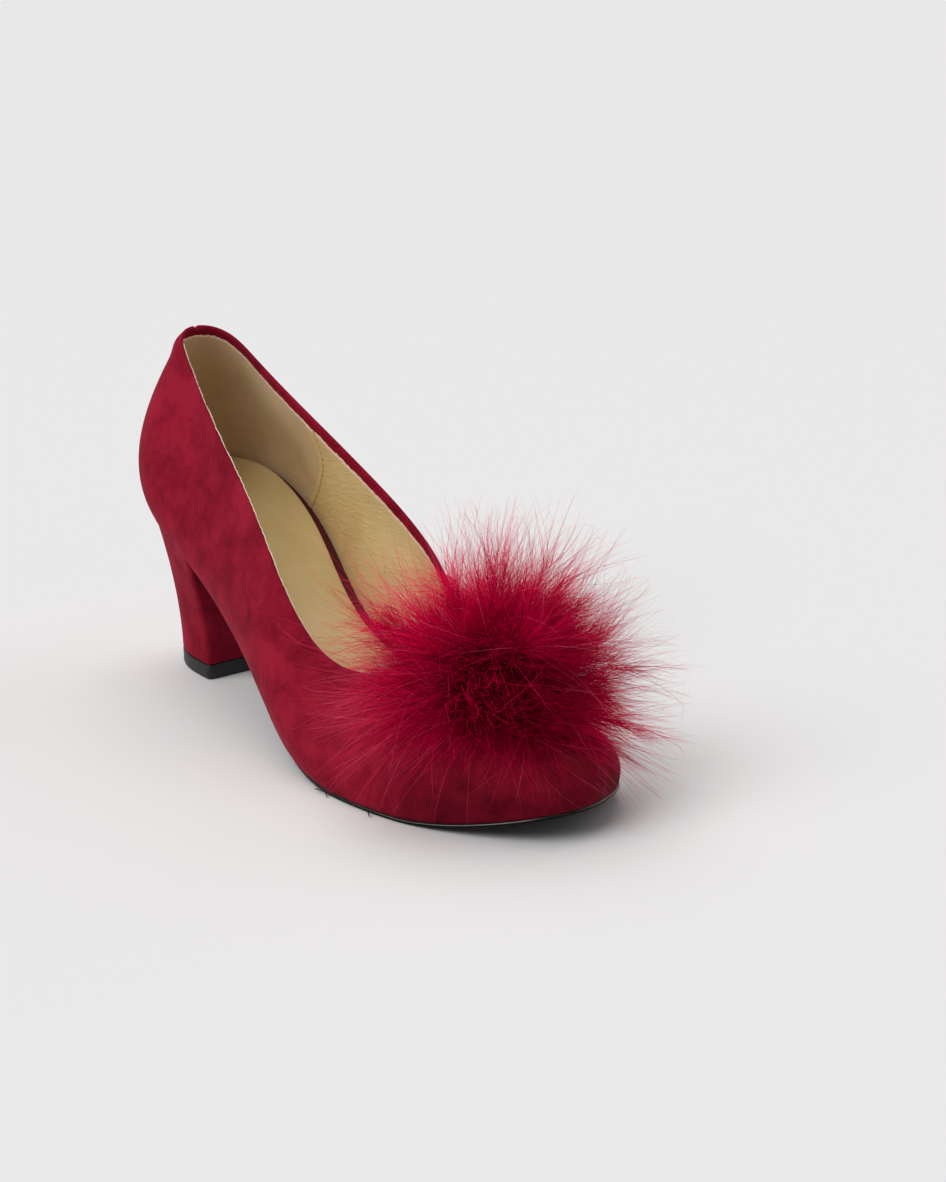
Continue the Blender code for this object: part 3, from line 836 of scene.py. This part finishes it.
# %% [markdown]
# The sock is a thin leather sheet over the padding, smooth and a little glossy.
# It stops short of the insole's edge and is left plain. Its edge is rounded by
# three rings, and its top follows the dip of the insole under it.

# %% Sock
SOCK = 1.0
SOCK_RINGS = ((0.0, -0.2), (0.0, 0.55 * SOCK), (0.12, 0.85 * SOCK), (0.5, SOCK))
sock_leather = leather("sock_leather_plain", (0.82, 0.655, 0.300), (0.92, 0.755, 0.400),
                       0.40, 1300, 160, 0.60, relief=0.12)


def rim_width(x):
    """How much of the insole shows beside the sock."""
    return 0.5 + np.interp(x / LENGTH, CUSHION["along"], CUSHION["rim"])


def drawn_in(ring_sides, more, lift):
    """A ring moved inwards in plan by the rim's width and a little more."""
    loop = np.vstack((ring_sides[-1], ring_sides[1][::-1]))
    along = np.roll(loop, -1, axis=0) - np.roll(loop, 1, axis=0)
    inward = unit(np.stack((-along[:, 1], along[:, 0]), -1))
    moved = loop.copy()
    moved[:, :2] += inward * (rim_width(loop[:, 0]) + more)[:, None]
    moved[:, 2] += lift
    half = len(loop) // 2
    return {-1: moved[:half], 1: moved[half:][::-1]}


sock_rings = [drawn_in(insole_rings[-1], more, GAP + lift) for more, lift in SOCK_RINGS]
take_rings(sock_rings)
take(across(sock_rings[-1], DISH, 25))
add_piece("sock", sock_leather, "sock", sharp=60, weld=0.01)

# %% [markdown]
# The heel is a wooden block wrapped in the same suede: a D in plan that tapers
# to the rubber top piece. It is a stack of rings, with the two front corners
# rounded a little, as leather rounds them, and the front face slightly hollow.

# %% Heel
ROUND_OFF = 2.0  # size of the heel's rounded front corners
HOLLOW = 0.5  # depth of the hollow in its front face
PARED = {0.0: 0.5, 0.006: 0.12}  # the cover turns in under the lowest rings


def d_ring(sides_xy, hollow):
    """A closed D from its two sides, with rounded front corners: outer, front, inner."""
    outer, inner = sides_xy[-1], sides_xy[1]
    corner_a, corner_b = outer[-1], inner[-1]
    arc = []
    for corner, before, after in ((corner_a, outer[-4], corner_b), (corner_b, corner_a, inner[-4])):
        p0 = corner + unit(before - corner) * ROUND_OFF
        p2 = corner + unit(after - corner) * ROUND_OFF
        u = np.linspace(0, 1, 6)[:, None]
        arc.append((1 - u) ** 2 * p0 + 2 * (1 - u) * u * corner + u ** 2 * p2)
    v = np.linspace(0, 1, 9)[1:-1, None]
    face = arc[0][-1] * (1 - v) + arc[1][0] * v
    face[:, 0] -= hollow * (4 * v[:, 0] * (1 - v[:, 0]))

    def clear_of(run, corner):
        return run[np.linalg.norm(run - corner, axis=1) > ROUND_OFF * 1.05]

    front = np.vstack((arc[0], face, arc[1]))
    return clear_of(outer, corner_a), front, clear_of(inner, corner_b)[::-1]


def resampled(path, count):
    """The same path with its points evenly spaced."""
    return path_at(path, np.linspace(0, run_along(path)[-1], count))


def heel_ring(v, shrink=0.0):
    """The heel's plan at a share v of its height."""
    angle = np.linspace(0, pi / 2, 60)
    narrow = LIFT_BACK + (LIFT_FRONT - LIFT_BACK) * (1 - np.cos(angle))
    wide = BREAST * (1 - np.cos(angle))
    sides_xy = {}
    for side in SIDES:
        foot = np.stack((narrow, side * HEEL_HALF(np.sqrt(narrow - LIFT_BACK))), -1)
        seat = outline(side, wide, 0.5)[0]
        sides_xy[side] = foot + (seat - foot) * v ** 1.7
    outer, front, inner = d_ring(sides_xy, HOLLOW * sin(pi * min(v, 1.0)))
    ring = np.vstack((resampled(outer, 44), front, resampled(inner, 44)[:-1]))
    return ring + unit(ring.mean(axis=0) - ring) * shrink


def heel_height(ring_top, v):
    """Heights of a ring: flat at the top piece, bent to the sole line at the seat."""
    roof = floor_line(np.clip(ring_top[:, 0], 0, BREAST)) - GAP
    base = LIFT + GAP
    return base + (roof - base) * v


seat_ring = heel_ring(1.0)
levels = np.hstack((0.0, 0.006, np.linspace(0.02, 0.98, 34), 1.0))
take_stack(np.stack([lying(heel_ring(v, PARED.get(v, 0.0)), heel_height(seat_ring, v))
                     for v in levels], axis=1))
add_piece("heel_cover", heel_suede, "heel", sharp=50, weld=0.005)

# %% [markdown]
# The top piece is hard black rubber nailed under the heel. It is the same D,
# with a fine chamfer at both edges, and its finish is nearly matt with scuffs.

# %% Top piece
def black_finish(name, dark, light, rough_low, rough_high, coat):
    """A black finish with scuffs that change its colour and its gloss."""
    material, shader = new_finish(
        name, Specular_IOR_Level=0.45, Coat_Weight=coat, Coat_Roughness=0.25)
    scuffs = noise(shader, 420, 4.0, stretch=(1.0, 1.0, 0.5), distortion=0.6)
    paint(shader, scuffs, (0.40, dark), (0.72, light))
    rough = add_node(shader, "MapRange", {
        "Value": scuffs, "To Min": rough_low, "To Max": rough_high})
    shader.id_data.links.new(rough.outputs["Result"], shader.inputs["Roughness"])
    bump(shader, noise(shader, 1500, 3.0), 0.2, 0.0004)
    return material


rubber = black_finish("lift_rubber_black", (0.010, 0.010, 0.011), (0.022, 0.021, 0.022),
                      0.42, 0.62, 0.0)
LIFT_MIDDLE = np.array((26.0, 0.0))
LIFT_RINGS = ((0.0, 0.965), (0.25, 0.985), (0.7, 0.995), (LIFT - 0.5, 1.0), (LIFT, 0.985))
base_ring = heel_ring(0.0) - LIFT_MIDDLE
take_stack(np.stack([lying(LIFT_MIDDLE + base_ring * scale, height)
                     for height, scale in LIFT_RINGS], axis=1))
add_piece("top_piece", rubber, "top_lift", sharp=45, weld=0.005)

# %% [markdown]
# The outsole is a thin black sheet, cemented on, with a polished edge that
# catches a line of light all round the toe. Rings on the sole's plan give the
# rounded, undercut edge, and strips across close the tread and the top. Only the
# part of the edge that faces up is glossy, so the shade below it stays black.

# %% Outsole
sole_black = black_finish("sole_polish_black", (0.0035, 0.0035, 0.004), (0.010, 0.0095, 0.010),
                          0.24, 0.40, 0.50)
polish = sole_black.node_tree.nodes["Principled BSDF"]
normal = add_node(polish, "NewGeometry").outputs["Normal"]
upward = add_node(polish, "SeparateXYZ", {"Vector": normal}).outputs["Z"]
shine = add_node(polish, "MapRange", {
    "Value": upward, "From Min": 0.15, "From Max": 0.60, "To Min": 0.05, "To Max": 0.65})
for socket in ("Specular IOR Level", "Coat Weight"):
    polish.id_data.links.new(shine.outputs["Result"], polish.inputs[socket])
# How far in from the plan each ring of the edge is, and how far down the sole
EDGE_RINGS = ((1.1, 1.0), (0.55, 0.97), (0.25, 0.90), (0.08, 0.80), (0.0, 0.68),
              (0.05, 0.61), (0.22, 0.54), (0.7, 0.49), (1.4, 0.48))
EDGE_DRAWN_IN = 0.25  # the sole's edge is flush with the suede drawn over it
SOLE_START = BREAST + 1.6
sole_x = SOLE_START + (LENGTH - SOLE_START) * np.sin(pi / 2 * np.linspace(0, 1, 120))
thicker = 1 + TIP_SHOWS * grown(sole_x, *TOE_TIP)
sole_sides = {}
for side in SIDES:
    rings = []
    for inset, depth in EDGE_RINGS:
        drop = SOLE * (1 - (1 - depth) * thicker)
        plan = outline(side, sole_x, inset + EDGE_DRAWN_IN - EDGE_OUT(sole_x / LENGTH))[0]
        rings.append(lying(plan, floor_line(sole_x) - GAP - drop))
    sole_sides[side] = np.stack(rings, axis=1)
    take(sole_sides[side])
for ring in (0, -1):
    take(across({side: sole_sides[side][:, ring] for side in SIDES}, 0.0, 11))
take(np.stack([sole_sides[-1][0] * (1 - v) + sole_sides[1][0] * v for v in np.linspace(0, 1, 11)]))
add_piece("outsole_sheet", sole_black, "outsole", sharp=50, weld=0.01)

# %% [markdown]
# A few ends of black thread stick out under the sole's edge, where the upper was
# pulled over and trimmed. Each is a short bent rod, given point by point.

# %% Loose threads
LOOSE = (((154.6, -42.2, 1.0), (153.4, -43.2, 1.1), (151.6, -43.9, 1.3), (150.2, -44.2, 1.0)),
         ((154.8, -42.2, 0.8), (155.2, -43.0, 0.9), (156.2, -43.6, 0.8), (157.3, -44.0, 0.5)),
         ((176.2, -40.6, 0.9), (176.8, -41.4, 1.0), (177.9, -42.0, 0.8), (178.8, -42.4, 0.6)))
take_rods(LOOSE, 0.24)
add_piece("loose_threads", sole_black, "outsole")

# %% [markdown]
# Marabou is down: each plume has a fine quill and hundreds of soft barbs. Real
# fur tools make hair that can't be kept as a mesh, so every barb here is a thin
# tapered ribbon, made for all plumes at once from arrays. A value on each barb
# picks its red, from nearly black in the heart, which is painted shade, to pale
# pink at the tip, which is painted highlight. A little light passes through.

# %% Feather finish
def feather_finish(name):
    """Down that takes its colour from the value called depth: painted shade low, painted highlight
    high.
    """
    material, shader = new_finish(name, Roughness=0.9, Specular_IOR_Level=0.0)
    depth = add_node(shader, "Attribute", attribute_name="depth").outputs["Fac"]
    # The near-black stops are painted shade for the heart; the pale pink last stop is painted
    # highlight.
    colour = ramp(
        shader, depth, (0.14, (0.030, 0.0002, 0.003)), (0.28, (0.15, 0.0004, 0.011)),
        (0.44, (0.52, 0.0008, 0.040)), (0.78, (0.90, 0.0020, 0.095)), (1.0, (1.0, 0.150, 0.270)))
    links = material.node_tree.links
    links.new(colour, shader.inputs["Base Color"])
    glow = add_node(shader, "BsdfTranslucent", {"Color": colour})
    both = add_node(shader, "MixShader", {
        "Fac": 0.22, 1: shader.outputs["BSDF"], 2: glow.outputs["BSDF"]})
    ending = material.node_tree.nodes["Material Output"]
    links.new(both.outputs["Shader"], ending.inputs["Surface"])
    return material


feather = feather_finish("marabou_down")
print("finish:", feather.name)

# %% [markdown]
# The plumes hang together in locks that fan out from a ring on the vamp. The fan
# leans to the toe, so its dark heart faces the camera. Towards the toe the locks
# are shorter and thinner and the suede shows through. The last six are listed one
# by one, where the photograph shows a lock that chance did not give.

# %% Locks
POM_AT = np.array((187.5, -1.5, 34.2))
HEART_AT = POM_AT - 1.5 * UP  # where the plumes part and the painted shade is deepest
POM_AXIS = unit(np.array((0.72, -0.58, 0.40)))
TOE_DOWN = unit(np.array((0.85, -0.30, -0.40)))  # plumes are shorter this way
FIRST = unit(np.cross(POM_AXIS, AHEAD + 0.1))
SECOND = np.cross(POM_AXIS, FIRST)
LOCKS, LOCK_PLUMES, BARBS, JOINTS = 72, 5, 160, 7
PLUMES = LOCKS * LOCK_PLUMES
THINNED = 0.64  # share of the barbs that is missing towards the toe
BY_HAND = table(
    "x y z size facing", (0.8, 0.5, -0.3, 30, 0.6), (0.97, -0.1, -0.3, 30, 0.6),
    (0.45, 0.85, 0.1, 34, 0.2), (0.25, 0.85, 0.4, 34, 0), (0.62, 0.72, 0.25, 34, 0),
    (0, 0.6, 0.75, 34, 0))
rng = np.random.default_rng(20)


def scatter(spread, *shape):
    """Random steps about zero."""
    return rng.normal(0, spread, shape)


def fan(open_angle, swing):
    """Directions at an angle from the pompom's axis and a turn about it."""
    return (np.cos(open_angle)[:, None] * POM_AXIS + np.sin(open_angle)[:, None]
            * (np.cos(swing)[:, None] * FIRST + np.sin(swing)[:, None] * SECOND))


def to_right(rays):
    """How far directions point to the right of the picture, from 0 to 1."""
    return np.clip(-(rays @ left) - 0.1, 0, 1)


step = (np.arange(LOCKS) + 0.5) / LOCKS
lock_open = np.radians(26 + 82 * np.sqrt(step)) + scatter(0.08, LOCKS)
lock_ray = fan(lock_open, step * LOCKS * pi * (3 - sqrt(5)) + scatter(0.12, LOCKS))
lock_size = rng.uniform(20, 31, LOCKS) * (0.60 + 0.40 * np.clip(lock_open / 1.25, 0, 1))
facing = np.clip(lock_ray @ TOE_DOWN, 0, 1)
lock_size *= 1 - np.where(np.arange(LOCKS) % 3 == 0, -0.08, 0.40) * facing
lock_size *= 1 + 0.22 * to_right(lock_ray)
low_left = np.clip(lock_ray @ unit(0.8 * left + 0.6 * TOE_DOWN), 0, 1)
lock_size *= 1 - 0.34 * low_left
facing = np.maximum(facing, 0.8 * low_left)
last = slice(LOCKS - len(BY_HAND["x"]), LOCKS)
lock_ray[last] = unit(np.stack([BY_HAND[k] for k in "xyz"], -1))
lock_size[last], facing[last] = BY_HAND["size"], BY_HAND["facing"]
lock_bend = scatter(0.26, LOCKS, 3) - 0.26 * UP
print("locks", LOCKS, "from", lock_size.min().round(1), "to", lock_size.max().round(1), "mm")

# %% [markdown]
# Each lock holds a few quills that part a little. Barbs leave a quill on all
# sides, wide at its root and narrow at its tip, and droop under their own weight.
# None may sink into the vamp, so points are lifted to a smooth bed above it.

# %% Plumes
def lie_on_bed(paths, clear):
    """Lifts points that would sink into the vamp under the pompom."""
    x, y = paths[..., 0], paths[..., 1]
    past = np.maximum(x - POLE, 0)
    ridge = np.where(x < THROAT, RIDGE_HEIGHT(THROAT) - 0.20 * (x - THROAT),
                     RIDGE_HEIGHT(np.minimum(x, POLE)) - 0.35 * past - 0.012 * past ** 2)
    bed = ridge - 0.0085 * y * y - 0.00001 * np.abs(y) ** 3.2
    paths[..., 2] = np.maximum(paths[..., 2], bed + clear)
    return paths


lock_of = np.repeat(np.arange(LOCKS), LOCK_PLUMES)
ray = unit(lock_ray[lock_of] + scatter(0.20, PLUMES, 3) * (1 - 0.4 * facing[lock_of])[:, None])
quill = lock_size[lock_of] * rng.uniform(0.82, 1.14, PLUMES)
bend = lock_bend[lock_of] + scatter(0.12, PLUMES, 3)
root = POM_AT + 6.5 * (ray - 0.4 * POM_AXIS) * rng.uniform(0.5, 1.1, (PLUMES, 1)) + 2.0 * UP


def spine(u):
    """Points of every quill at shares u, one row for each plume."""
    u = u[..., None]
    path = u * ray[:, None] + 0.5 * u * u * bend[:, None]
    return lie_on_bed(root[:, None] + quill[:, None, None] * path, 1.2)


def spine_way(u, step):
    """Directions of every quill at shares u."""
    return unit(spine(u + step) - spine(u - step))


u = np.linspace(0.05, 1.0, BARBS)[None, :] + scatter(0.01, PLUMES, BARBS)
tangent = spine_way(u, 0.02)
face_a = unit(np.cross(tangent, UP + scatter(0.25, PLUMES, 1, 3)))
face_b = np.cross(tangent, face_a)
vane = (rng.uniform(0, 2 * pi, (PLUMES, 1)) + scatter(0.65, PLUMES, BARBS)
        + pi * (np.arange(BARBS) % 2))
out = np.cos(vane)[..., None] * face_a + np.sin(vane)[..., None] * face_b
splay = np.radians(np.clip(rng.normal(46 - 20 * u, 13), 6, 80))[..., None]
begin = np.cos(splay) * tangent + np.sin(splay) * out
size = 12 + 18 * rng.random((PLUMES, BARBS)) ** 1.3
size *= 0.62 + 0.38 * np.sin(pi * np.clip(u, 0.08, 0.8))
size *= 1 - 0.50 * to_right(ray)[:, None] * u
sweep = scatter(0.36, PLUMES, 1, 3) + scatter(0.25, PLUMES, BARBS, 3) - 0.16 * UP
v = np.linspace(0, 1, JOINTS)[:, None]
barbs = lie_on_bed(spine(u)[:, :, None] + size[:, :, None, None] * (
    v * begin[:, :, None] + v ** 2 * (0.22 * (tangent - begin) + sweep)[:, :, None]), 0.7)
kept = (rng.random((PLUMES, BARBS)) > THINNED * facing[lock_of][:, None]).ravel()
barbs = barbs.reshape(-1, JOINTS, 3)[kept]
print("barbs", len(barbs), "reach", np.linalg.norm(barbs[:, -1] - POM_AT, axis=1).max().round(1))

# %% [markdown]
# A barb becomes a strip of quads that tapers to its tip. Flat strips would glint
# one by one, so their normals lean to those of a ball, and the mass is lit as one
# soft body. The plumes are four meshes, one for each quarter, to keep each small.

# %% Barbs to meshes
LOW_LIMIT, HIGH_LIMIT = np.array((120.0, -57.0, 2.0)), np.array((250.0, 60.0, 95.0))
BALL_AT = POM_AT - 6 * UP  # the middle of that ball
HEART_SHADE_SIZE, HEART_SHADE_FADE = 6.0, 35.0  # the painted shade of the heart, and the way to full colour


def ribbons(paths, width, twist):
    """Tapered flat ribbons along paths, facing out of the pompom."""
    along = unit(np.gradient(paths, axis=1))
    edge = unit(np.cross(along, unit(unit(paths - BALL_AT) + twist)))
    taper = (1 - np.linspace(0, 1, paths.shape[1])) ** 0.7 * 0.90 + 0.10
    half = 0.5 * width[:, None, None] * taper[None, :, None] * edge
    return np.stack((paths - half, paths + half), axis=2)


def soften(mesh, corners):
    """Leans the mesh's normals to those of a ball."""
    ball = unit(corners - BALL_AT)
    own = np.empty(len(ball) * 3, np.float32)
    mesh.vertex_normals.foreach_get("vector", own)
    own = own.reshape(-1, 3)
    own *= np.where((own * ball).sum(-1, keepdims=True) < 0, -1, 1)
    mesh.normals_split_custom_set_from_vertices(unit(0.35 * own + 0.65 * ball).tolist())


def painted_shade_and_highlight(paths, brightness):
    """A value from 0 in the painted shade of the heart to 1 at the painted highlight of the tips;
    it never falls along a barb.
    """
    joints = paths.shape[1]
    way = paths - HEART_AT
    far = np.linalg.norm(way - 0.5 * (way @ POM_AXIS)[..., None] * POM_AXIS, axis=-1)
    value = np.clip((far - HEART_SHADE_SIZE) / HEART_SHADE_FADE, 0, 1.2) ** 0.9 * 0.72
    # Along each barb the root is painted darker and the tip paler, as painted shade and highlight.
    value = value + np.linspace(0, 0.22, joints) + brightness[:, None]
    value = 0.5 + 0.5 * np.tanh(1.7 * (np.maximum.accumulate(value, axis=1) - 0.5))
    return (value + np.linspace(0, 0.03, joints)) / 1.03


def add_barbs(name, paths, width, brightness):
    """One mesh of ribbons, with its painted shade and highlight kept as the value depth and as a
    map.
    """
    paths = np.clip(paths, LOW_LIMIT, HIGH_LIMIT)
    count, joints = paths.shape[:2]
    corners = ribbons(paths, width, scatter(0.40, count, 1, 3)).reshape(-1, 3)
    number = np.arange(count * joints * 2).reshape(count, joints, 2)
    quads = np.stack((number[:, :-1, 0], number[:, :-1, 1], number[:, 1:, 1], number[:, 1:, 0]), -1)
    quads = quads.reshape(-1, 4)
    points.extend(corners)
    faces.extend(quads.tolist())
    item = add_piece(name, feather, "pompom")
    soften(item.data, corners)
    value = np.repeat(painted_shade_and_highlight(paths, brightness)[..., None], 2, axis=-1)
    layer = item.data.attributes.new("depth", "FLOAT", "POINT")
    layer.data.foreach_set("value", value.astype(np.float32).ravel())
    side = np.broadcast_to(np.array((0.0, 1.0)), (count, joints, 2))
    spots = np.stack((value, side), -1).reshape(-1, 2)[quads.ravel()]
    mapped = item.data.uv_layers.new(name="OFBake")
    mapped.data.foreach_set("uv", (0.02 + 0.96 * spots).astype(np.float32).ravel())


width = rng.uniform(0.10, 0.22, len(barbs))
shade = np.repeat(scatter(0.12, LOCKS)[lock_of] + scatter(0.04, PLUMES), BARBS)
shade = (shade + scatter(0.06, PLUMES * BARBS))[kept]
QUARTERS = (-0.6 * pi, 0.1, 0.38 * pi)  # turns where one quarter ends
quarter = np.repeat(np.digitize(np.arctan2(ray[:, 1], ray[:, 0]), QUARTERS), BARBS)[kept]
for k, name in enumerate((
        "plumes_back_outer", "plumes_toe_outer", "plumes_toe_inner", "plumes_back_inner")):
    pick = quarter == k
    add_barbs(name, barbs[pick], width[pick], shade[pick])

# %% [markdown]
# Single long barbs stand out of the mass and cross each other. A raised value
# paints them paler than the rest, as painted highlight. They start on the plumes,
# run further than the rest and bend under their own weight.

# %% Wisps
WISPS, FARTHEST = 1600, 64.0
owner = rng.integers(0, PLUMES, WISPS)
start = rng.uniform(0.50, 1.0, PLUMES)[:, None]
foot, ahead = spine(start)[owner], spine_way(start, 0.03)[owner, 0]
heading = unit(ahead + scatter(0.36, WISPS, 3))
sway = scatter(0.36, WISPS, 3) - 0.16 * UP
v = np.linspace(0, 1, 9)[:, None]
run = rng.uniform(20, 42, WISPS) * (1 - 0.30 * np.clip(heading @ TOE_DOWN, 0, 1))
wisps = foot + run[:, None, None] * (v * heading[:, None] + v ** 2 * sway[:, None])
away = wisps - POM_AT
wisps = POM_AT + away * np.minimum(1, FARTHEST / np.linalg.norm(away, axis=-1, keepdims=True))
# The raised value paints the wisps paler: painted highlight.
add_barbs("wisps", lie_on_bed(wisps, 0.8), rng.uniform(0.11, 0.22, WISPS),
          rng.normal(0.34, 0.20, WISPS))

# %% [markdown]
# In the heart the shortest barbs curl over each other, and below it a few broad
# ones part and twist on their way down over the toe. Both start as a straight
# path with a turn wound round it.

# %% Curls at the heart
def wound(aim, spread, count):
    """Directions about an aim, with two more across each of them."""
    heading = unit(aim + scatter(spread, count, 3))
    side_a = unit(np.cross(heading, UP + scatter(0.5, count, 3)))
    return heading[:, None], side_a[:, None], np.cross(heading, side_a)[:, None]


CURLS, TENDRILS = 500, 260
v = np.linspace(0, 1, 14)[None, :, None]
heading, side_a, side_b = wound(POM_AXIS, 0.75, CURLS)
coil = 2 * pi * v * rng.uniform(0.3, 0.9, (CURLS, 1, 1))
curls = HEART_AT + 14.0 * POM_AXIS + scatter(4.0, CURLS, 1, 3)
curls = curls + rng.uniform(4, 13, (CURLS, 1, 1)) * (
    v * heading + 0.30 * v * (np.cos(coil) * side_a + np.sin(coil) * side_b))
# The curls lie at the heart, so their value keeps them in its painted shade.
add_barbs("heart_curls", lie_on_bed(curls, 0.8), rng.uniform(0.25, 0.60, CURLS),
          rng.normal(0.0, 0.16, CURLS))

# %% Tendrils of the lower half
heading, side_a, side_b = wound(TOE_DOWN + 0.35 * POM_AXIS, 0.55, TENDRILS)
coil = pi * v * rng.uniform(0.4, 1.0, (TENDRILS, 1, 1))
tendrils = POM_AT + 12.0 * heading + scatter(5.0, TENDRILS, 1, 3)
tendrils = tendrils + rng.uniform(8, 20, (TENDRILS, 1, 1)) * (
    v * heading + 0.28 * (np.sin(coil) * side_a + (1 - np.cos(coil)) * side_b))
add_barbs("tendrils", lie_on_bed(tendrils, 1.0), rng.uniform(0.22, 0.45, TENDRILS),
          rng.normal(0.12, 0.14, TENDRILS))
